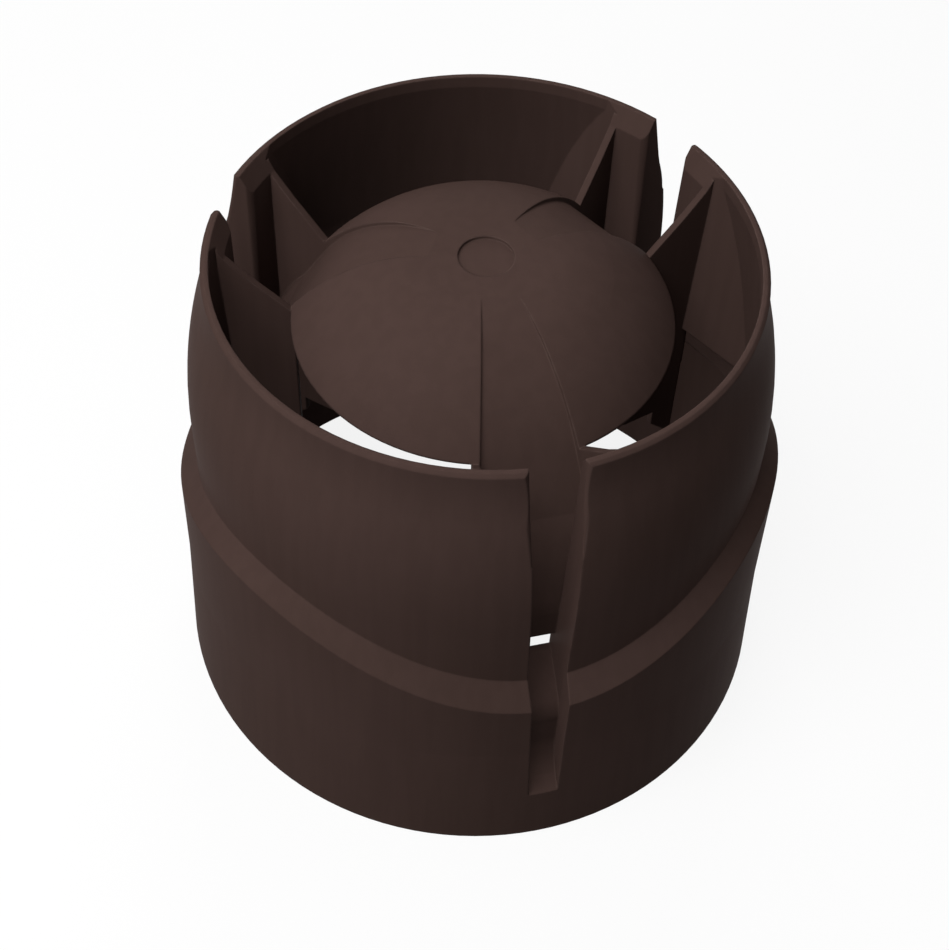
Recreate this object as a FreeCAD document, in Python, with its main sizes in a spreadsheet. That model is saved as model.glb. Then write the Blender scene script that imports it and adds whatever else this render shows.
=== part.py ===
import FreeCAD, Part
import math
import os
import re
import Sketcher
from FreeCAD import Placement, Rotation, Vector

# A vent pipe cap, moulded in one piece: a domed lid on three channelled arms inside a round rim,
# and a flared sleeve below it. Millimetres and degrees, +Z up, origin under the middle of the
# bottom edge. The three arms repeat every 120 degrees and the first points to -Y.

SIZES = {
    "height": (134, "bottom edge to rim"),
    "arm_turn": (-90, "direction of the first arm, degrees"),
    # Band
    "rim_radius": (63.5, "inside of the rim"),
    "rim_wall": (1.9, "rim thickness"),
    "rim_round": (0.8, "chamfer of the rim's outer edge"),
    "lip_radius": (67.6, "outside of the band where the lip meets the bulge"),
    "lip_drop": (13, "rim down to that place"),
    "band_radius": (72.2, "outside of the band at its widest"),
    "band_drop": (46, "rim down to the widest place"),
    "band_wall": (2.9, "band thickness"),
    "land_depth": (3.2, "straight inner land under the rim"),
    # Shoulder
    "shoulder_drop": (61.1, "rim down to the middle of the wavy shoulder line"),
    "shoulder_wave": (8.7, "rise and fall of the shoulder line"),
    "bevel_drop": (66.4, "rim down to the middle of the bevel's lower line"),
    "bevel_wave": (9.2, "rise and fall of the bevel's lower line"),
    "bevel_gap": (4.4, "outer bevel down to the inner one"),
    # Sleeve
    "sleeve_radius": (76.4, "outside of the sleeve at the bevel"),
    "sleeve_middle": (77.6, "outside of the sleeve halfway down"),
    "foot_radius": (79.7, "outside of the sleeve at its bottom edge"),
    "middle_height": (38.7, "height of the halfway place"),
    "foot_bore": (76.0, "inside of the straight bottom stretch"),
    "foot_depth": (12, "length of the straight bottom stretch"),
    "sleeve_bore": (73.6, "inside of the sleeve at the bevel"),
    # Flats inside the band beside the slots
    "flat_top": (60.5, "middle to flat at the rim"),
    "flat_foot": (58.4, "middle to flat at its lower end"),
    "flat_drop": (53.3, "rim down to the flat's lower end"),
    "flat_wall": (3.0, "thickness of the flat wall"),
    # Dome
    "crown_drop": (0.6, "rim down to the middle of the dome"),
    "crown_radius": (14, "edge of the dome's flat crown"),
    "crown_edge_drop": (1.15, "rim down to that edge"),
    "haunch_radius": (30, "a place on the dome's round shoulder"),
    "haunch_drop": (5.95, "rim down to that place"),
    "dome_radius": (46, "lower edge of the dome"),
    "dome_drop": (20.4, "rim down to the lower edge of the dome"),
    "dome_wall": (2.2, "dome thickness"),
    "dimple_radius": (6.6, "round dimple in the crown"),
    "dimple_depth": (1.1, "depth of the dimple"),
    # Rib and post tops
    "crest_radius": (60.7, "a place on the hollow top of the ribs"),
    "crest_drop": (5.1, "rim down to that place"),
    "hollow_radius": (55.1, "a lower place on the same line"),
    "hollow_drop": (11.4, "rim down to it"),
    # Ribs
    "rib_angle": (12.84, "direction of an arm to that of its rib, degrees"),
    "rib_shift": (2.14, "middle of the cap to the middle plane of a rib"),
    "rib_wall": (1.8, "rib thickness"),
    "rib_inner": (45.4, "inner edge of the ribs below the dome"),
    "rib_outer": (62.3, "free outer edge of the ribs below the band"),
    "seat_radius": (55.25, "stop for a standard pipe, between the rib legs"),
    "seat_drop": (84.5, "rim down to that stop"),
    "leg_drop": (89.4, "rim down to the start of the legs' lead-in"),
    "leg_foot_drop": (94.7, "rim down to the lowest point of the legs"),
    # Arms
    "arm_wall": (2.2, "thickness of the channel floor"),
    "arm_start": (12.0, "inner end of the channel"),
    "arm_start_drop": (1.0, "rim down to the floor there"),
    "arm_fall": (18.0, "a place where the floor starts to fall"),
    "arm_fall_drop": (2.2, "rim down to it"),
    "arm_bend": (24.0, "end of the floor's first bend"),
    "arm_bend_drop": (4.4, "rim down to it"),
    "arm_slope": (36.0, "end of its second bend"),
    "arm_slope_drop": (12.6, "rim down to it"),
    "arm_steep": (44.0, "start of the straight slope"),
    "arm_steep_drop": (22.9, "rim down to it"),
    "arm_turn_in": (51.2, "end of the straight slope"),
    "arm_turn_drop": (35.3, "rim down to it"),
    "arm_knee": (58.0, "a place on the last bend"),
    "arm_knee_drop": (46.0, "rim down to it"),
    "arm_outer": (61.2, "outside of the arm's upright end"),
    "arm_outer_drop": (60, "rim down to the end of the last bend"),
    "arm_end_drop": (68.6, "rim down to the lower edge of the arm"),
    "post_top": (60.7, "inner face of the posts at the rim"),
    "post_foot": (61.2, "inner face of the posts near the ledge"),
    "nose_top": (1.8, "rounding of the posts beside the slot at the rim"),
    "nose_foot": (0.6, "the same near the ledge"),
    # Slots and the scoops below them
    "slot_top": (6.2, "half width of a slot at the rim"),
    "slot_foot": (3.7, "half width of a slot at its lower end"),
    "slot_wall": (2.2, "thickness of the walls beside and under a slot"),
    "scoop_inner": (60.3, "inner edge of the scoop"),
    "scoop_drop": (77.5, "rim down to that edge"),
    "scoop_bend": (68.2, "start of the upper bend"),
    "scoop_bend_drop": (84.0, "rim down to it"),
    "scoop_face": (71.4, "upright face of the scoop"),
    "scoop_face_drop": (92.5, "rim down to the upper end of that face"),
    "scoop_face_end_drop": (100.5, "rim down to the lower end of that face"),
    "scoop_end": (75.3, "start of the run-out"),
    "scoop_end_drop": (111.8, "rim down to it"),
    "scoop_foot_drop": (116.6, "rim down to where the scoop meets the skin"),
}

doc = FreeCAD.newDocument("vent_pipe_cap")
sheet = doc.addObject("Spreadsheet::Sheet", "Sizes")
for row, (name, (number, note)) in enumerate(SIZES.items(), start=1):
    sheet.set(f"A{row}", name)
    sheet.set(f"B{row}", str(number))
    sheet.set(f"C{row}", note)
    sheet.setAlias(f"B{row}", name)
doc.recompute()


def bound(formula):
    """The formula with each size's name pointing at its cell."""
    return re.sub(r"[a-z_]+", lambda word: f"Sizes.{word[0]}" if word[0] in SIZES else word[0], formula)


def value(formula):
    """The number that a formula of sizes gives now."""
    return float(sheet.evalExpression(bound(formula)))


def bind(thing, **formulas):
    """Tie properties of an object to the sheet."""
    for prop, formula in formulas.items():
        thing.setExpression(prop, bound(formula))
    return thing


def outline(name, start, *steps):
    """A closed upright outline of lines and arcs; x is the distance outward and y the height.

    A step is (x, y) for a line, (x, y, "smooth") for an arc that leaves the last piece smoothly,
    or (x, y, via_x, via_y) for an arc through a place on the way.
    """
    sketch = doc.addObject("Sketcher::SketchObject", name)
    sketch.Placement = Placement(Vector(0, 0, 0), Rotation(Vector(1, 0, 0), 90))

    def spot(place):
        return Vector(value(place[0]), value(place[1]), 0)

    def pin(piece, end, place):
        for kind, axis, formula in (("DistanceX", -2, place[0]), ("DistanceY", -1, place[1])):
            if formula == "0":
                sketch.addConstraint(Sketcher.Constraint("PointOnObject", piece, end, axis))
                continue
            index = sketch.addConstraint(Sketcher.Constraint(kind, -1, 1, piece, end, value(formula)))
            sketch.setExpression(f"Constraints[{index}]", bound(formula))

    here = start
    heading = None
    ends = []
    for step in steps + (start[:2],):
        there = step[:2]
        p, q = spot(here), spot(there)
        if len(step) == 2:
            piece = sketch.addGeometry(Part.LineSegment(p, q), False)
            ends.append((piece, 1, 2))
            heading = q - p
        else:
            if step[2] == "smooth":
                chord = q - p
                across = Vector(-heading.y, heading.x, 0).normalize()
                radius = chord.dot(chord) / (2 * chord.dot(across))
                centre = p + across * radius
            else:
                via = spot(step[2:])
                centre = Part.Arc(p, via, q).toShape().Curve.Center
            anticlockwise = (p - centre).cross(q - centre).z > 0
            side = 1 if anticlockwise else -1
            middle = (p - centre) + (q - centre)
            middle = centre + middle.normalize() * (p - centre).Length
            piece = sketch.addGeometry(Part.Arc(p, middle, q), False)
            ends.append((piece, 1, 2) if anticlockwise else (piece, 2, 1))
            heading = Vector(-(q - centre).y * side, (q - centre).x * side, 0)
            if step[2] == "smooth":
                before, _, last = ends[-2]
                sketch.addConstraint(Sketcher.Constraint("Tangent", before, last, piece, ends[-1][1]))
            else:
                mark = sketch.addGeometry(Part.Point(via), True)
                pin(mark, 1, step[2:])
                sketch.addConstraint(Sketcher.Constraint("PointOnObject", mark, 1, piece))
        smooth = len(step) == 3
        if len(ends) > 1 and not smooth:
            before, _, last = ends[-2]
            sketch.addConstraint(Sketcher.Constraint("Coincident", before, last, piece, ends[-1][1]))
        pin(piece, ends[-1][2], there)
        here = there
    first, last = ends[0], ends[-1]
    sketch.addConstraint(Sketcher.Constraint("Coincident", last[0], last[2], first[0], first[1]))
    return sketch


def turned(name, start, *steps):
    """A solid turned about the upright axis from an outline."""
    solid = doc.addObject("Part::Revolution", name)
    solid.Source = outline(name + "_outline", start, *steps)
    solid.Axis = Vector(0, 0, 1)
    solid.Angle = 360
    solid.Solid = True
    return solid


def plate(name, thickness, start, *steps):
    """A plate of an upright outline, standing evenly on both sides of it."""
    solid = doc.addObject("Part::Extrusion", name)
    solid.Base = outline(name + "_outline", start, *steps)
    solid.DirMode = "Normal"
    solid.Solid = True
    solid.Symmetric = True
    return bind(solid, LengthFwd=thickness)


def joined(name, pieces):
    doc.recompute()
    solid = doc.addObject("Part::MultiFuse", name)
    solid.Shapes = pieces
    return solid


def shared(name, pieces):
    doc.recompute()
    solid = doc.addObject("Part::MultiCommon", name)
    solid.Shapes = pieces
    return solid


def cut(name, base, tool):
    doc.recompute()
    solid = doc.addObject("Part::Cut", name)
    solid.Base = base
    solid.Tool = tool
    return solid


def copies(piece, turn="0"):
    """Three links to one piece, one for each arm; turn moves them round from the arm's middle."""
    links = []
    for number in range(3):
        link = doc.addObject("App::Link", f"{piece.Name}_copy")
        link.LinkedObject = piece
        link.Placement = Placement(Vector(0, 0, 0), Rotation(Vector(0, 0, 1), 0))
        bind(link, **{"Placement.Rotation.Angle": f"arm_turn + {120 * number} + {turn}"})
        links.append(link)
    return links


def wave_ring(name, drop):
    """The solid below the wavy bevel, as a ring: two wavy lines joined by straight ones.

    The bevel runs through the shoulder line and its own lower line, and on past both.
    """
    inner, outer = value("rim_radius"), value("foot_radius + 6")
    steps = 24
    lines = []
    for radius in (inner, outer):
        share = (radius - value("band_radius")) / value("sleeve_radius - band_radius")
        places = []
        for step in range(steps):
            angle = math.radians(360 / steps * step)
            swing = math.cos(3 * (angle - math.radians(value("arm_turn"))))
            top = value("height - shoulder_drop") - value("shoulder_wave") * swing
            low = value("height - bevel_drop") - value("bevel_wave") * swing
            rise = top + (low - top) * share - drop
            places.append(Vector(radius * math.cos(angle), radius * math.sin(angle), rise))
        curve = Part.BSplineCurve()
        curve.interpolate(Points=places, PeriodicFlag=True)
        lines.append(curve.toShape())
    bevel = Part.makeRuledSurface(lines[0], lines[1])
    ring = doc.addObject("Part::Feature", name)
    ring.Shape = bevel.extrude(Vector(0, 0, -2 * value("height")))
    return ring


# Outer skin: the band is solid down to the floor here, and the sleeve is a ring below the bevel.

band = turned(
    "band", ("0", "0"), ("band_radius", "0"), ("band_radius", "height - band_drop"),
    ("lip_radius", "height - lip_drop", "smooth"),
    ("rim_radius + rim_wall", "height - rim_round", "smooth"),
    ("rim_radius + rim_wall - rim_round", "height"), ("0", "height"),
)
sleeve = turned(
    "sleeve", ("0", "0"), ("foot_radius", "0"), ("sleeve_middle", "middle_height"),
    ("sleeve_radius", "height - shoulder_drop + 2 * shoulder_wave"),
    ("0", "height - shoulder_drop + 2 * shoulder_wave"),
)
sleeve_skin = shared("sleeve_skin", [sleeve, wave_ring("bevel", 0)])
skin = joined("skin", [band, sleeve_skin])

# Inside: the band's own hollow, held back by a flat on each side of every arm, and the sleeve's.

band_hollow = turned(
    "band_hollow", ("0", "0"), ("band_radius - band_wall", "0"),
    ("band_radius - band_wall", "height - band_drop"),
    ("rim_radius", "height - land_depth", "lip_radius - 0.85 * band_wall", "height - lip_drop"),
    ("rim_radius", "height"), ("0", "height"),
)


def flats(name):
    """Three leaning flats as a tapered triangle."""
    ends = []
    for label, reach, level in (
        ("foot", "flat_foot", "height - flat_drop"), ("top", "flat_top", "height + 1"),
    ):
        triangle = doc.addObject("Part::RegularPolygon", f"{name}_{label}")
        triangle.Polygon = 3
        triangle.Placement = Placement(Vector(0, 0, 0), Rotation(Vector(0, 0, 1), 0))
        bind(triangle, Circumradius=f"2 * {reach}")
        bind(triangle, **{"Placement.Base.z": level, "Placement.Rotation.Angle": "arm_turn + 60"})
        ends.append(triangle)
    loft = doc.addObject("Part::Loft", name)
    loft.Sections = ends
    loft.Solid = True
    loft.Ruled = True
    return loft


upper_hollow = shared("upper_hollow", [band_hollow, flats("flat_faces")])
below = bind(doc.addObject("Part::Cylinder", "below"), Radius="foot_radius", Height="height - flat_drop")
lower_hollow = shared("lower_hollow", [band_hollow, below])
sleeve_bore = turned(
    "sleeve_bore", ("0", "0"), ("foot_bore", "0"), ("foot_bore", "foot_depth"),
    ("sleeve_bore", "height - bevel_drop"), ("sleeve_bore", "height - shoulder_drop + 2 * shoulder_wave"),
    ("0", "height - shoulder_drop + 2 * shoulder_wave"),
)
sleeve_hollow = shared("sleeve_hollow", [sleeve_bore, wave_ring("inner_bevel", value("bevel_gap"))])
hollow = joined("hollow", [upper_hollow, lower_hollow, sleeve_hollow])

# Dome

dome = turned(
    "dome", ("0", "height - crown_drop - dome_wall"),
    ("crown_radius - 0.2 * dome_wall", "height - crown_edge_drop - dome_wall"),
    ("haunch_radius - 0.55 * dome_wall", "height - haunch_drop - 0.85 * dome_wall"),
    ("dome_radius - dome_wall", "height - dome_drop"), ("dome_radius", "height - dome_drop"),
    ("dome_radius + dome_wall", "height"), ("0", "height"),
)

# One arm, along +X: a channel floor between two ribs. The floor's line is used three times.

FLOOR = [
    ("arm_start", "height - arm_start_drop"),
    ("arm_bend", "height - arm_bend_drop", "arm_fall", "height - arm_fall_drop"),
    ("arm_slope", "height - arm_slope_drop", "smooth"),
    ("arm_steep", "height - arm_steep_drop", "smooth"),
    ("arm_turn_in", "height - arm_turn_drop"),
    ("arm_outer", "height - arm_outer_drop", "arm_knee", "height - arm_knee_drop"),
    ("arm_outer", "height - arm_end_drop"),
]
UPPER_UNDERSIDE = [
    ("arm_slope - 0.7 * arm_wall", "height - arm_slope_drop - 0.7 * arm_wall"),
    ("arm_bend - 0.4 * arm_wall", "height - arm_bend_drop - 0.9 * arm_wall"),
    ("arm_start", "height - arm_start_drop - 0.6 * arm_wall"),
]
UNDERSIDE = [
    ("arm_outer - arm_wall", "height - arm_end_drop"),
    ("arm_outer - arm_wall", "height - arm_outer_drop"),
    ("arm_turn_in - 0.87 * arm_wall", "height - arm_turn_drop - 0.5 * arm_wall",
     "arm_knee - 0.87 * arm_wall", "height - arm_knee_drop - 0.5 * arm_wall"),
    ("arm_steep - 0.87 * arm_wall", "height - arm_steep_drop - 0.5 * arm_wall"),
    *UPPER_UNDERSIDE,
]
floor_strip = plate("floor_strip", "2 * rim_radius", *FLOOR, *UNDERSIDE)


def sector(name, inset):
    """The wedge between the middle planes of an arm's two ribs, drawn in by inset on each side."""
    wedge = doc.addObject("Part::Cylinder", name)
    bind(wedge, Radius="2 * rim_radius", Height="height + 1", Angle="2 * rib_angle")
    wedge.Placement = Placement(Vector(0, 0, 0), Rotation(Vector(0, 0, 1), 0))
    bind(wedge, **{"Placement.Rotation.Angle": "-rib_angle",
                   "Placement.Base.x": f"({inset} - rib_shift) / sin(rib_angle)"})
    return wedge


arm_floor = shared("arm_floor", [floor_strip, sector("arm_sector", "0")])


def rib(name, shift):
    """A rib's plate along +X, moved sideways so that a turn by rib_angle brings it into place."""
    solid = plate(
        name, "rib_wall",
        ("arm_start", "height"), ("rib_outer", "height"), ("rib_outer", "height - leg_foot_drop"),
        ("rib_outer - rib_wall", "height - leg_foot_drop"), ("seat_radius", "height - leg_drop"),
        ("seat_radius", "height - seat_drop"), ("rib_inner", "height - seat_drop"),
        ("rib_inner", "height - arm_turn_drop"), *UPPER_UNDERSIDE,
    )
    bind(solid.Base, **{"Placement.Base.y": shift})
    return solid


ribs = (copies(rib("rib_left", "rib_shift"), "rib_angle")
        + copies(rib("rib_right", "-rib_shift"), "-rib_angle"))


def slot_wedge(name, extra):
    """The slot's tapered width, wider at the rim, as a block along +X."""
    wedge = doc.addObject("Part::Wedge", name)
    bind(wedge, Xmin=f"-slot_foot - {extra}", Xmax=f"slot_foot + {extra}",
         X2min=f"-slot_top - {extra}", X2max=f"slot_top + {extra}",
         Ymin="height - scoop_foot_drop - 2 * slot_wall", Ymax="height + 1",
         Zmin="0", Zmax="foot_radius", Z2min="0", Z2max="foot_radius")
    wedge.Placement = Placement(Vector(0, 0, 0), Rotation(Vector(1, 1, 1), 120))
    return wedge


SCOOP = [
    ("scoop_bend", "height - scoop_bend_drop"),
    ("scoop_face", "height - scoop_face_drop", "smooth"),
    ("scoop_face", "height - scoop_face_end_drop"),
    ("scoop_end", "height - scoop_end_drop", "smooth"),
    ("foot_radius", "height - scoop_foot_drop"),
]
wall_strip = plate(
    "wall_strip", "2 * rim_radius",
    ("scoop_inner - slot_wall", "height - flat_drop + flat_wall"),
    ("scoop_inner - slot_wall", "height - scoop_drop - 0.7 * slot_wall"),
    ("scoop_bend - 0.7 * slot_wall", "height - scoop_bend_drop - 0.8 * slot_wall"),
    ("scoop_face - slot_wall", "height - scoop_face_drop", "smooth"),
    ("scoop_face - slot_wall", "height - scoop_face_end_drop"),
    ("scoop_end - 0.8 * slot_wall", "height - scoop_end_drop - 0.8 * slot_wall", "smooth"),
    ("foot_radius", "height - scoop_foot_drop - 2 * slot_wall"),
    ("foot_radius", "height - flat_drop + flat_wall"),
)
slot_walls = shared("slot_walls", [wall_strip, slot_wedge("wall_wedge", "slot_wall")])

# The two posts of an arm are one block here, from the ledge to the rim, and the slot parts them

post_sector = sector("post_sector", "0")
bind(post_sector, **{"Placement.Base.z": "height - flat_drop"})
post_face = doc.addObject("Part::Cone", "post_face")
post_face.Placement = Placement(Vector(0, 0, 0), Rotation(Vector(0, 0, 1), 0))
bind(post_face, Radius1="post_foot", Radius2="post_top", Height="arm_end_drop + 1")
bind(post_face, **{"Placement.Base.z": "height - arm_end_drop"})
post_tall = bind(doc.addObject("Part::Cylinder", "post_tall"), Radius="post_top", Height="2 * height")
posts = cut("posts", post_sector, joined("post_space", [post_face, post_tall]))

# What the arm's channel and its slot leave open

above_floor = plate(
    "above_floor", "2 * rim_radius", *FLOOR,
    ("foot_radius", "height - arm_end_drop"), ("foot_radius", "height + 1"), ("arm_start", "height + 1"),
)
channel_sector = sector("channel_sector", "rib_wall / 2")
channel = shared("channel", [above_floor, channel_sector, post_face])
slot_side = plate(
    "slot_side", "2 * rim_radius", *FLOOR[4:],
    ("scoop_inner - 2 * slot_wall", "height - arm_end_drop"),
    ("scoop_inner - 2 * slot_wall", "height - scoop_drop"), ("scoop_inner", "height - scoop_drop"),
    *SCOOP, ("foot_radius", "height + 1"), ("arm_turn_in", "height + 1"),
)
slot = shared("slot", [slot_side, slot_wedge("slot_width", "0")])


def nose(name, side, deeper, sections):
    """What a post's round edge leaves off its sharp one beside the slot.

    deeper is 1 for the edge on the channel and -1 for the edge on the skin; a section is a height,
    the sharp edge's distance from the middle of the cap, and the reach of the rounding.
    """
    foot, top = value("height - scoop_foot_drop - 2 * slot_wall"), value("height + 1")
    wires = []
    for level, radius, reach in ([value(formula) for formula in section] for section in sections):
        share = (level - foot) / (top - foot)
        width = value("slot_foot") + (value("slot_top") - value("slot_foot")) * share
        corner = Vector(math.sqrt(radius ** 2 - width ** 2), side * width, level)
        inward = Vector(deeper, 0, 0)
        along = Vector(-side * width, corner.x, 0) * (side / radius)
        start = corner + inward * reach - along * 0.08 * reach
        end = corner + along * reach - inward * 0.08 * reach
        middle = corner + (inward + along) * 0.31 * reach
        clear = corner - (inward + along) * reach
        wires.append(Part.Wire([
            Part.Arc(start, middle, end).toShape(),
            Part.LineSegment(end, clear).toShape(),
            Part.LineSegment(clear, start).toShape(),
        ]))
    cutter = doc.addObject("Part::Feature", name)
    cutter.Shape = Part.makeLoft(wires, True, True)
    return cutter


INNER_EDGE = [("height - arm_end_drop", "post_foot", "nose_foot"), ("height + 1", "post_top", "nose_top")]
OUTER_EDGE = [("height - 2 * lip_drop", "lip_radius + 2.9", "0.2 * nose_top"),
              ("height - lip_drop", "lip_radius", "0.6 * nose_top"),
              ("height + 1", "rim_radius + rim_wall - 0.3", "0.9 * nose_top")]
inner_noses = [nose("inner_nose_right", -1, 1, INNER_EDGE), nose("inner_nose_left", 1, 1, INNER_EDGE)]
noses_open = shared("noses_open", [above_floor, joined("inner_noses", inner_noses)])
outer_noses = [nose("outer_nose_right", -1, -1, OUTER_EDGE), nose("outer_nose_left", 1, -1, OUTER_EDGE)]
arm_open = joined("arm_open", [channel, slot, noses_open] + outer_noses)

# Above the cap: everything over the dome and over the hollow line along the tops of the ribs

above = turned(
    "above", ("0", "height - crown_drop"),
    ("crown_radius", "height - crown_edge_drop"),
    ("haunch_radius", "height - haunch_drop", "smooth"),
    ("dome_radius", "height - dome_drop", "smooth"),
    ("hollow_radius", "height - hollow_drop"), ("crest_radius", "height - crest_drop"),
    ("rim_radius", "height"), ("rim_radius", "height + 1"), ("0", "height + 1"),
)
dimple = bind(doc.addObject("Part::Cylinder", "dimple"), Radius="dimple_radius", Height="height")
dimple.Placement = Placement(Vector(0, 0, 0), Rotation(Vector(0, 0, 1), 0))
bind(dimple, **{"Placement.Base.z": "height - crown_drop - dimple_depth"})

# The moulding is the skin less the hollow that dome, arms, ribs and slot walls leave in it

inner_pieces = joined(
    "inner_pieces",
    [dome] + copies(arm_floor) + ribs + copies(posts) + copies(slot_walls),
)
inside = cut("inside", hollow, inner_pieces)
closed_cap = cut("closed_cap", skin, inside)
opened = joined("opened", [above, dimple] + copies(arm_open))
cap = cut("cap", closed_cap, opened)
cap.Label = "vent_cap"
doc.recompute()

for thing in doc.Objects:
    state = set(thing.State) & {"Invalid", "Error"}
    if state:
        raise RuntimeError(f"{thing.Name}: {thing.State}")
for piece in (cap,):
    shape = piece.Shape
    if shape.isNull() or not shape.isValid() or len(shape.Solids) != 1:
        raise RuntimeError(f"{piece.Label}: solids {len(shape.Solids)}, valid {shape.isValid()}")
    print(piece.Label, round(shape.Volume), shape.BoundBox)

os.makedirs("parts", exist_ok=True)
for piece in (cap,):
    piece.Shape.exportStep(f"parts/{piece.Label}.step")
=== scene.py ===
# %% [markdown]
# # A moulded vent pipe cap
# The object is one piece of dark brown plastic: a domed lid on three channelled arms, six thin ribs,
# a bulging band with three drain slots, and a flared sleeve that goes over the pipe. The packed
# model is the real shape at its real size, so this scene loads it and gives it its finish.
# First the model is loaded, and its box is printed.

# %% Load the imported model
import math

import bpy
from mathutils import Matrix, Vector


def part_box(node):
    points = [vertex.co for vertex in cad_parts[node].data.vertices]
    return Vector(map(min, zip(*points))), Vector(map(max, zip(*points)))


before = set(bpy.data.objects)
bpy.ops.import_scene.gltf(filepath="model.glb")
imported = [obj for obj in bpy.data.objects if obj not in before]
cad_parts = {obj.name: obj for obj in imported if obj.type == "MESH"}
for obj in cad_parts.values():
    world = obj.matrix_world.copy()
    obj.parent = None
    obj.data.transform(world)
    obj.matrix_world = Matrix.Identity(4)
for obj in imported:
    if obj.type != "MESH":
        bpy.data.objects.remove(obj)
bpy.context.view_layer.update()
lowest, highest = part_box("vent_cap")
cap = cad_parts["vent_cap"]
print("cap from", tuple(lowest), "to", tuple(highest), "with", len(cap.data.polygons), "faces")

# %% [markdown]
# The photograph looks down on the cap, with the camera tilted by about 50 degrees. The two circles
# of the cap, the rim and the bottom edge, fix where the camera stood and how long its lens was: the
# numbers below are real places in metres. A camera could be aimed at a point with a constraint, but
# the photograph's small roll would be lost, so its turn is given as three angles.

# %% Camera
CAMERA_PLACE = (-0.07415, -0.27104, 0.40667)
CAMERA_TURN = (38.359, -1.596, -13.195)
LENS_MM = 64.1
SENSOR_MM = 36.0
NEAREST_SEEN = 0.01

camera_data = bpy.data.cameras.new("camera")
camera_data.lens = LENS_MM
camera_data.sensor_width = SENSOR_MM
camera_data.clip_start = NEAREST_SEEN
camera = bpy.data.objects.new("camera", camera_data)
camera.location = CAMERA_PLACE
camera.rotation_euler = [math.radians(angle) for angle in CAMERA_TURN]
bpy.context.scene.collection.objects.link(camera)
bpy.context.scene.camera = camera
print("camera", CAMERA_PLACE)

# %% [markdown]
# ## The paper
# The cap stands on plain pale paper. The paper is white in the photograph, and also where it shows
# through the gaps of the cap. Its colour does that, not more light: a strong lamp would wash out the
# brown plastic as well. So the paper is mostly an even white to the eye and to reflections, with a
# share of real paper left in it, and that share keeps the cap's soft shadow. Away from the cap the
# share fades out, so that the far edges of the paper melt into the white of the studio. To the
# light's own bounces it is a grey paper, or the sides of the cap would be lit from below as brightly
# as its top.

# %% Paper material
PAPER_WHITE = 0.9
PAPER_GREY = 0.15
PAPER_ROUGHNESS = 0.9
WHITE_SHARE = 0.85
FADE_START = 0.35
FADE_END = 1.5

paper = bpy.data.materials.new("paper")
paper.use_nodes = True
paper_tree = paper.node_tree
paper_shader = paper_tree.nodes["Principled BSDF"]
paper_shader.inputs["Roughness"].default_value = PAPER_ROUGHNESS
paper_shader.inputs["Specular IOR Level"].default_value = 0.0


def seen_directly(tree):
    """1 where a ray comes from the eye, a gloss or a glass, and 0 for the light's own bounces."""
    path = tree.nodes.new("ShaderNodeLightPath")
    seen = path.outputs["Is Camera Ray"]
    for label in ("Is Glossy Ray", "Is Transmission Ray"):
        either = tree.nodes.new("ShaderNodeMath")
        either.operation = "MAXIMUM"
        tree.links.new(seen, either.inputs[0])
        tree.links.new(path.outputs[label], either.inputs[1])
        seen = either.outputs[0]
    return seen


def ramp(tree, socket, low, high, start=0.0, end=1.0):
    """The number low where the socket is at its start, and high where it is at its end."""
    spread = tree.nodes.new("ShaderNodeMapRange")
    spread.inputs["From Min"].default_value = start
    spread.inputs["From Max"].default_value = end
    spread.inputs["To Min"].default_value = low
    spread.inputs["To Max"].default_value = high
    tree.links.new(socket, spread.inputs["Value"])
    return spread.outputs["Result"]


seen = seen_directly(paper_tree)
paper_tree.links.new(ramp(paper_tree, seen, PAPER_GREY, PAPER_WHITE),
                     paper_shader.inputs["Base Color"])
floor_place = paper_tree.nodes.new("ShaderNodeTexCoord").outputs["Object"]
from_cap = paper_tree.nodes.new("ShaderNodeVectorMath")
from_cap.operation = "LENGTH"
paper_tree.links.new(floor_place, from_cap.inputs[0])
share = paper_tree.nodes.new("ShaderNodeMath")
share.operation = "MULTIPLY"
paper_tree.links.new(seen, share.inputs[0])
paper_tree.links.new(ramp(paper_tree, from_cap.outputs["Value"], WHITE_SHARE, 1.0,
                          start=FADE_START, end=FADE_END), share.inputs[1])
white = paper_tree.nodes.new("ShaderNodeEmission")
mixed = paper_tree.nodes.new("ShaderNodeMixShader")
paper_tree.links.new(share.outputs[0], mixed.inputs[0])
paper_tree.links.new(paper_shader.outputs[0], mixed.inputs[1])
paper_tree.links.new(white.outputs[0], mixed.inputs[2])
paper_tree.links.new(mixed.outputs[0], paper_tree.nodes["Material Output"].inputs["Surface"])
print("paper share of white", WHITE_SHARE)

# %% [markdown]
# A product photographer lets the paper hang down behind the object and lie under it in one sheet,
# with a bend of large radius, so that no line shows where the floor ends. Its shape follows a rule,
# so it is made with Geometry Nodes: a line with one corner goes in, its corner is rounded, and the
# rounded line is drawn out sideways to the width of the roll. The rule's sizes are inputs of the
# tree, and another bend needs no new points.

# %% Tree of the paper sweep
sweep = bpy.data.node_groups.new("paper_sweep", "GeometryNodeTree")
sweep.interface.new_socket("Line", in_out="INPUT", socket_type="NodeSocketGeometry")
for label, kind in (("Width", "NodeSocketFloat"), ("Bend Radius", "NodeSocketFloat"),
                    ("Bend Steps", "NodeSocketInt"), ("Paper", "NodeSocketMaterial")):
    sweep.interface.new_socket(label, in_out="INPUT", socket_type=kind)
sweep.interface.new_socket("Sheet", in_out="OUTPUT", socket_type="NodeSocketGeometry")
given = sweep.nodes.new("NodeGroupInput")
result = sweep.nodes.new("NodeGroupOutput")

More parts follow.
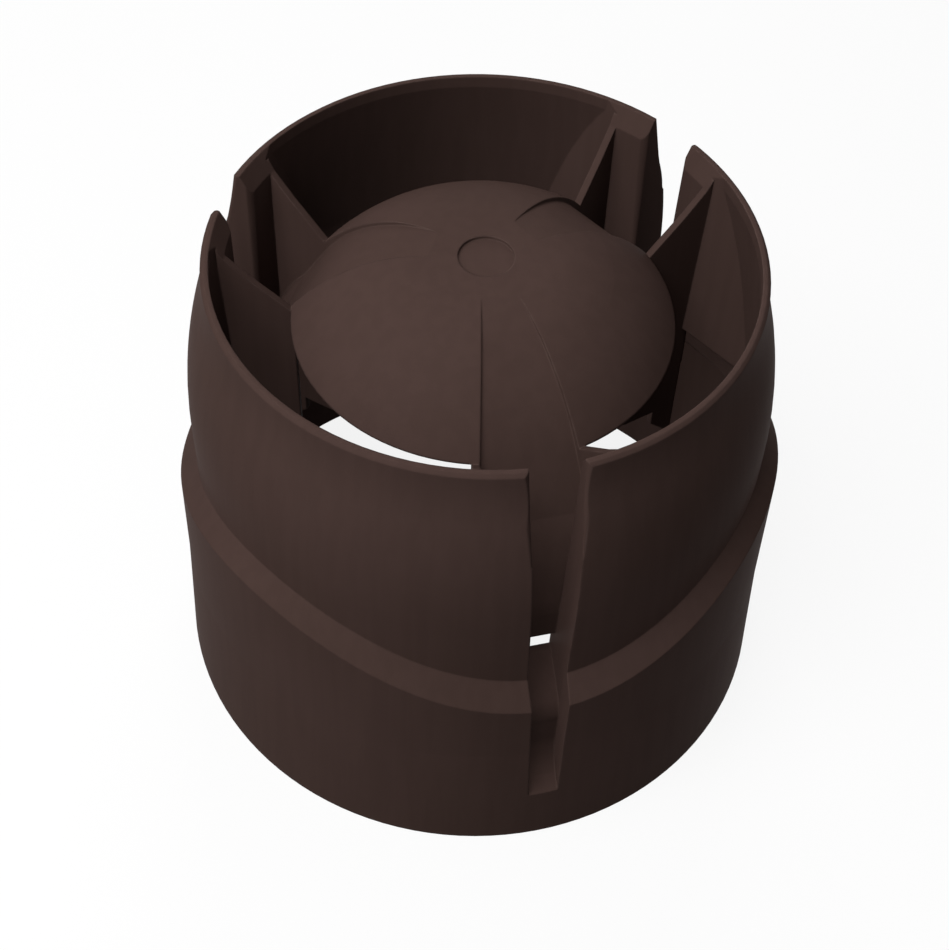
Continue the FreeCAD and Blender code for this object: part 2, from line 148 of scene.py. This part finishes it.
to_curve = sweep.nodes.new("GeometryNodeMeshToCurve")
fillet = sweep.nodes.new("GeometryNodeFilletCurve")
fillet.mode = "POLY"
to_mesh = sweep.nodes.new("GeometryNodeCurveToMesh")
sideways = sweep.nodes.new("ShaderNodeCombineXYZ")
drawn = sweep.nodes.new("GeometryNodeExtrudeMesh")
drawn.mode = "EDGES"
smooth = sweep.nodes.new("GeometryNodeSetShadeSmooth")
real = sweep.nodes.new("GeometryNodeRealizeInstances")
dressed = sweep.nodes.new("GeometryNodeSetMaterial")
for source, target in (
    (given.outputs["Line"], to_curve.inputs["Mesh"]),
    (to_curve.outputs["Curve"], fillet.inputs["Curve"]),
    (given.outputs["Bend Steps"], fillet.inputs["Count"]),
    (given.outputs["Bend Radius"], fillet.inputs["Radius"]),
    (fillet.outputs["Curve"], to_mesh.inputs["Curve"]),
    (to_mesh.outputs["Mesh"], drawn.inputs["Mesh"]),
    (given.outputs["Width"], sideways.inputs["X"]),
    (sideways.outputs["Vector"], drawn.inputs["Offset"]),
    (drawn.outputs["Mesh"], smooth.inputs["Geometry"]),
    (smooth.outputs["Geometry"], real.inputs["Geometry"]),
    (real.outputs["Geometry"], dressed.inputs["Geometry"]),
    (given.outputs["Paper"], dressed.inputs["Material"]),
    (dressed.outputs["Geometry"], result.inputs["Sheet"]),
):
    sweep.links.new(source, target)
drawn.inputs["Offset Scale"].default_value = 1.0
print("paper_sweep nodes", len(sweep.nodes))

# %% [markdown]
# The line has three points: the front edge of the paper, the corner, and the top of the hanging
# part. A modifier runs the tree on it.

# %% Paper sweep
PAPER_WIDTH = 4.0
PAPER_FRONT = -2.0
PAPER_BACK = 1.7
PAPER_TOP = 1.6
BEND_RADIUS = 0.5
BEND_STEPS = 24

line = bpy.data.meshes.new("paper_line")
left = -PAPER_WIDTH / 2
line.from_pydata([(left, PAPER_FRONT, 0.0), (left, PAPER_BACK, 0.0), (left, PAPER_BACK, PAPER_TOP)],
                 [(0, 1), (1, 2)], [])
floor = bpy.data.objects.new("floor", line)
bpy.context.scene.collection.objects.link(floor)
maker = floor.modifiers.new("sweep", "NODES")
maker.node_group = sweep
sizes = {"Width": PAPER_WIDTH, "Bend Radius": BEND_RADIUS, "Bend Steps": BEND_STEPS, "Paper": paper}
for socket in sweep.interface.items_tree:
    if socket.name in sizes:
        maker[socket.identifier] = sizes[socket.name]
evaluated = floor.evaluated_get(bpy.context.evaluated_depsgraph_get())
sheet = bpy.data.meshes.new_from_object(evaluated)
floor.modifiers.clear()
floor.data = sheet
print("paper faces", len(sheet.polygons), "up", round(sheet.polygons[0].normal.z, 2),
      "material", [slot.name for slot in sheet.materials])

# %% [markdown]
# The light in the photograph comes from above and from the left: the left of the sleeve is the
# palest brown, the right is the darkest, and the wall inside the rim on the right is lit too. One
# bare lamp would give it hard shadows that the photograph hasn't, so the lamps are soft boxes. The
# main one hangs nearly overhead. A second one stands on the left and casts no shadow of its own, as
# a reflector does: it reaches the walls inside the cap and the right side of each slot. A weak one
# behind, a little to the right, keeps the back and the right side of the cap readable when the
# camera goes round.

# %% Lamps
LAMP_SIZE = 0.6
LAMP_AIM = (0.0, 0.0, 0.09)
LAMPS = (
    ("key", (-0.35, -0.24, 1.02), 6.6),
    ("fill", (-0.75, -0.20, 0.75), 5.4),
    ("back", (0.28, 0.97, 0.60), 4.0),
)
SHADOWLESS = ("fill",)
WORLD_LIGHT = 0.18


def lamp(name, place, watts):
    """A square soft box that looks at the middle of the cap."""
    data = bpy.data.lights.new(name, "AREA")
    data.size = LAMP_SIZE
    data.energy = watts
    data.use_shadow = name not in SHADOWLESS
    thing = bpy.data.objects.new(name, data)
    thing.location = place
    sight = Vector(LAMP_AIM) - Vector(place)
    thing.rotation_euler = sight.to_track_quat("-Z", "Y").to_euler()
    bpy.context.scene.collection.objects.link(thing)
    return thing


lamps = [lamp(name, place, watts) for name, place, watts in LAMPS]

world = bpy.data.worlds.new("studio")
world.use_nodes = True
sky = world.node_tree.nodes["Background"]
sky.inputs["Color"].default_value = (1.0, 1.0, 1.0, 1.0)
glow = ramp(world.node_tree, seen_directly(world.node_tree), WORLD_LIGHT, 1.0)
world.node_tree.links.new(glow, sky.inputs["Strength"])
bpy.context.scene.world = world
bpy.context.scene.view_settings.view_transform = "Standard"
print("lamps", [thing.name for thing in lamps])

# %% [markdown]
# ## The plastic
# The cap is polypropylene, dyed dark brown. Seen close, a moulding of this kind has four things that
# a flat colour lacks: a fine grain from the spark-eroded mould, upright draw marks where it slid out
# of the mould, a faint cloudiness where the dye did not mix evenly, and edges that are a little
# round and show a little wear. The edges are painted paler for that wear and also as a painted
# highlight, where the round edges catch the light. Each is a node group of its own, with named
# inputs, so that it can be tuned by itself and used again on another part.

# %% Helpers for node groups


def new_group(name, inputs, outputs):
    """An empty shader group with its sockets and its two end nodes."""
    group = bpy.data.node_groups.new(name, "ShaderNodeTree")
    for label, kind, value in inputs:
        socket = group.interface.new_socket(label, in_out="INPUT", socket_type=kind)
        socket.default_value = value
    for label, kind in outputs:
        group.interface.new_socket(label, in_out="OUTPUT", socket_type=kind)
    start = group.nodes.new("NodeGroupInput")
    end = group.nodes.new("NodeGroupOutput")
    return group, start, end


def add_node(group, kind, **settings):
    """A node with its settings, or the default values of its sockets."""
    node = group.nodes.new(kind)
    for label, setting in settings.items():
        if label in node.inputs:
            node.inputs[label].default_value = setting
        else:
            setattr(node, label, setting)
    return node


def one_over(group, socket):
    """A noise wants a scale, and a size in metres says more: the scale is one over the size."""
    ratio = add_node(group, "ShaderNodeMath", operation="DIVIDE")
    ratio.inputs[0].default_value = 1.0
    group.links.new(socket, ratio.inputs[1])
    return ratio.outputs[0]


def noise(group, position, size, detail, roughness):
    """Noise between 0 and 1 at a place, with spots of a size in metres."""
    texture = add_node(group, "ShaderNodeTexNoise", Detail=detail, Roughness=roughness)
    group.links.new(position, texture.inputs["Vector"])
    group.links.new(one_over(group, size), texture.inputs["Scale"])
    return texture.outputs["Fac"]


def between(group, socket, low, high):
    """A soft step: 0 below low, 1 above high."""
    step = add_node(group, "ShaderNodeMapRange", interpolation_type="SMOOTHSTEP")
    step.inputs["From Min"].default_value = low
    step.inputs["From Max"].default_value = high
    group.links.new(socket, step.inputs["Value"])
    return step.outputs["Result"]


def colour_mix(group, factor, first, second):
    """The first colour at factor 0 and the second at factor 1."""
    mix = add_node(group, "ShaderNodeMix", data_type="RGBA")
    group.links.new(factor, mix.inputs["Factor"])
    ends = [socket for socket in mix.inputs if socket.type == "RGBA"]
    for end_socket, source in zip(ends, (first, second)):
        if isinstance(source, tuple):
            end_socket.default_value = source
        else:
            group.links.new(source, end_socket)
    return [socket for socket in mix.outputs if socket.type == "RGBA"][0]


# %% [markdown]
# The steel of the mould is cut by sparks, and it leaves its fine tooth on the plastic. A scanned
# picture of such a surface would show its seams and repeats on a round wall, so the grain is made of
# two layers of noise: a fine one for the tooth, and a coarser one, a few millimetres wide, for the
# faint waviness of a shrunken moulding.

# %% Mould grain
grain, start, end = new_group(
    "mould_grain",
    [("Position", "NodeSocketVector", (0.0, 0.0, 0.0)),
     ("Grain Size", "NodeSocketFloat", 0.0005),
     ("Waviness Size", "NodeSocketFloat", 0.006),
     ("Waviness", "NodeSocketFloat", 0.4)],
    [("Height", "NodeSocketFloat"), ("Mask", "NodeSocketFloat")],
)
fine = noise(grain, start.outputs["Position"], start.outputs["Grain Size"], 3.0, 0.6)
broad = noise(grain, start.outputs["Position"], start.outputs["Waviness Size"], 2.0, 0.5)
height = add_node(grain, "ShaderNodeMath", operation="MULTIPLY_ADD")
grain.links.new(broad, height.inputs[0])
grain.links.new(start.outputs["Waviness"], height.inputs[1])
grain.links.new(fine, height.inputs[2])
grain.links.new(height.outputs[0], end.inputs["Height"])
grain.links.new(fine, end.inputs["Mask"])
print("mould_grain nodes", len(grain.nodes))

# %% [markdown]
# Draw marks are the faint upright streaks on walls that slid along the mould when it opened. A wave
# texture would make them as regular as a fence. So they are noise that is squeezed in the mould's
# opening direction: the place is scaled down along Z before the noise looks at it, and each spot
# becomes a long upright streak.

# %% Draw marks
STREAK_STEP = (0.35, 0.65)

marks, start, end = new_group(
    "draw_marks",
    [("Position", "NodeSocketVector", (0.0, 0.0, 0.0)),
     ("Mark Width", "NodeSocketFloat", 0.003),
     ("Shortening", "NodeSocketVector", (1.0, 1.0, 0.04))],
    [("Mask", "NodeSocketFloat")],
)
squeezed = add_node(marks, "ShaderNodeVectorMath", operation="MULTIPLY")
marks.links.new(start.outputs["Position"], squeezed.inputs[0])
marks.links.new(start.outputs["Shortening"], squeezed.inputs[1])
streak = noise(marks, squeezed.outputs[0], start.outputs["Mark Width"], 2.0, 0.5)
marks.links.new(between(marks, streak, *STREAK_STEP), end.inputs["Mask"])
print("draw_marks nodes", len(marks.nodes))

# %% [markdown]
# Dye clouds are broad and faint. They could be a colour ramp on a noise, but two browns as inputs of
# the group are easier to tune: the group mixes them by a soft noise and puts out the colour.

# %% Dye clouds
CLOUD_STEP = (0.3, 0.7)

clouds, start, end = new_group(
    "dye_clouds",
    [("Position", "NodeSocketVector", (0.0, 0.0, 0.0)),
     ("Cloud Size", "NodeSocketFloat", 0.03),
     ("Dark", "NodeSocketColor", (0.03, 0.02, 0.018, 1.0)),
     ("Pale", "NodeSocketColor", (0.04, 0.028, 0.025, 1.0))],
    [("Color", "NodeSocketColor")],
)
drift = noise(clouds, start.outputs["Position"], start.outputs["Cloud Size"], 4.0, 0.55)
cloud = between(clouds, drift, *CLOUD_STEP)
shade = colour_mix(clouds, cloud, start.outputs["Dark"], start.outputs["Pale"])
clouds.links.new(shade, end.inputs["Color"])
print("dye_clouds nodes", len(clouds.nodes))

# %% [markdown]
# The sharp edges of a moulding are painted paler: partly wear from handling, partly a painted
# highlight where the round edges catch the light. Blender's Pointiness finds edges too, but only
# on a mesh of small, even and joined faces, and a CAD mesh is loose triangles of all sizes. So two
# normals are compared. A Bevel node gives the normal of an edge rounded by a fraction of a
# millimetre, the Geometry node gives the true one, and they part only near an edge. What they part
# by, broken up by a noise, is the mask of the pale edges. The rounded normal goes out as well,
# because the material needs it for its shading.

# %% Edge wear and painted highlight
EDGE_STEP = (0.02, 0.30)
PATCH_STEP = (0.25, 0.60)
BEVEL_SAMPLES = 6

pale_edge_group, start, end = new_group(
    "edge_wear_and_highlight",
    [("Position", "NodeSocketVector", (0.0, 0.0, 0.0)),
     ("Radius", "NodeSocketFloat", 0.0007),
     ("Patch Size", "NodeSocketFloat", 0.008)],
    [("Mask", "NodeSocketFloat"), ("Normal", "NodeSocketVector")],
)
corner = add_node(pale_edge_group, "ShaderNodeBevel", samples=BEVEL_SAMPLES)
pale_edge_group.links.new(start.outputs["Radius"], corner.inputs["Radius"])
true_normal = add_node(pale_edge_group, "ShaderNodeNewGeometry")
agree = add_node(pale_edge_group, "ShaderNodeVectorMath", operation="DOT_PRODUCT")
pale_edge_group.links.new(corner.outputs["Normal"], agree.inputs[0])
pale_edge_group.links.new(true_normal.outputs["Normal"], agree.inputs[1])
parting = add_node(pale_edge_group, "ShaderNodeMath", operation="SUBTRACT")
parting.inputs[0].default_value = 1.0
pale_edge_group.links.new(agree.outputs["Value"], parting.inputs[1])
patches = noise(pale_edge_group, start.outputs["Position"], start.outputs["Patch Size"], 3.0, 0.6)
# The mask of the pale edges: wear from handling and a painted highlight of the round edges.
pale_edge_mask = add_node(pale_edge_group, "ShaderNodeMath", operation="MULTIPLY")
pale_edge_group.links.new(between(pale_edge_group, parting.outputs[0], *EDGE_STEP), pale_edge_mask.inputs[0])
pale_edge_group.links.new(between(pale_edge_group, patches, *PATCH_STEP), pale_edge_mask.inputs[1])
pale_edge_group.links.new(pale_edge_mask.outputs[0], end.inputs["Mask"])
pale_edge_group.links.new(corner.outputs["Normal"], end.inputs["Normal"])
print("edge_wear_and_highlight nodes", len(pale_edge_group.nodes))

# %% [markdown]
# The material itself holds the shader. Clouds and draw marks set the brown, the grain sets how dull
# it is, and the edges are paler and duller: their paleness is wear and a painted highlight. The
# plastic is nearly matt. Its sheen is weak, since a stronger one mirrors the white paper, and the
# brown is as warm on the sides as on the top.

# %% Brown plastic
DARK_BROWN = (0.0595, 0.0365, 0.0310, 1.0)
PALE_BROWN = (0.0655, 0.0402, 0.0348, 1.0)
# Paler brown of the edges: wear, with a painted highlight where the round edges catch light.
EDGE_WEAR_AND_HIGHLIGHT_BROWN = (0.115, 0.078, 0.068, 1.0)
BLACK = (0.0, 0.0, 0.0, 1.0)
PLASTIC_IOR = 1.49
SHEEN = 0.004
CLOUD_SIZE = 0.06
MARKS_DARKEN = 0.05
# How far the edges are painted paler, as wear and as a painted highlight.
EDGE_PALENESS = 0.55
GRAIN_DULLS = 0.7
EDGES_DULL = 0.3
ROUGHNESS_RANGE = (0.46, 0.70)
BUMP_STRENGTH = 0.12
BUMP_DEPTH = 0.0002

brown = bpy.data.materials.new("brown_plastic")
brown.use_nodes = True
tree = brown.node_tree
shader = tree.nodes["Principled BSDF"]
shader.inputs["IOR"].default_value = PLASTIC_IOR
shader.inputs["Specular IOR Level"].default_value = SHEEN
where = add_node(tree, "ShaderNodeTexCoord").outputs["Object"]


def use(group, **settings):
    """One use of a group in the plastic, looking at places on the object itself."""
    node = add_node(tree, "ShaderNodeGroup", node_tree=group)
    for label, setting in settings.items():
        node.inputs[label.replace("_", " ")].default_value = setting
    tree.links.new(where, node.inputs["Position"])
    return node


def scaled(socket, factor):
    """A mask made weaker."""
    weaker = add_node(tree, "ShaderNodeMath", operation="MULTIPLY")
    weaker.inputs[1].default_value = factor
    tree.links.new(socket, weaker.inputs[0])
    return weaker.outputs[0]


dye = use(clouds, Cloud_Size=CLOUD_SIZE, Dark=DARK_BROWN, Pale=PALE_BROWN)
streaks = use(marks)
tooth = use(grain)
edges = use(pale_edge_group)

marked = colour_mix(tree, scaled(streaks.outputs["Mask"], MARKS_DARKEN),
                    dye.outputs["Color"], BLACK)
# The edges are painted paler here: wear and a painted highlight of the round edges.
pale_edged_colour = colour_mix(tree, scaled(edges.outputs["Mask"], EDGE_PALENESS), marked, EDGE_WEAR_AND_HIGHLIGHT_BROWN)
tree.links.new(pale_edged_colour, shader.inputs["Base Color"])

dull = add_node(tree, "ShaderNodeMath", operation="ADD")
tree.links.new(scaled(tooth.outputs["Mask"], GRAIN_DULLS), dull.inputs[0])
tree.links.new(scaled(edges.outputs["Mask"], EDGES_DULL), dull.inputs[1])
tree.links.new(ramp(tree, dull.outputs[0], *ROUGHNESS_RANGE), shader.inputs["Roughness"])

bump = add_node(tree, "ShaderNodeBump", Strength=BUMP_STRENGTH, Distance=BUMP_DEPTH)
tree.links.new(tooth.outputs["Height"], bump.inputs["Height"])
tree.links.new(edges.outputs["Normal"], bump.inputs["Normal"])
tree.links.new(bump.outputs["Normal"], shader.inputs["Normal"])

for slot in cap.material_slots:
    slot.material = brown
print("plastic nodes", len(tree.nodes))
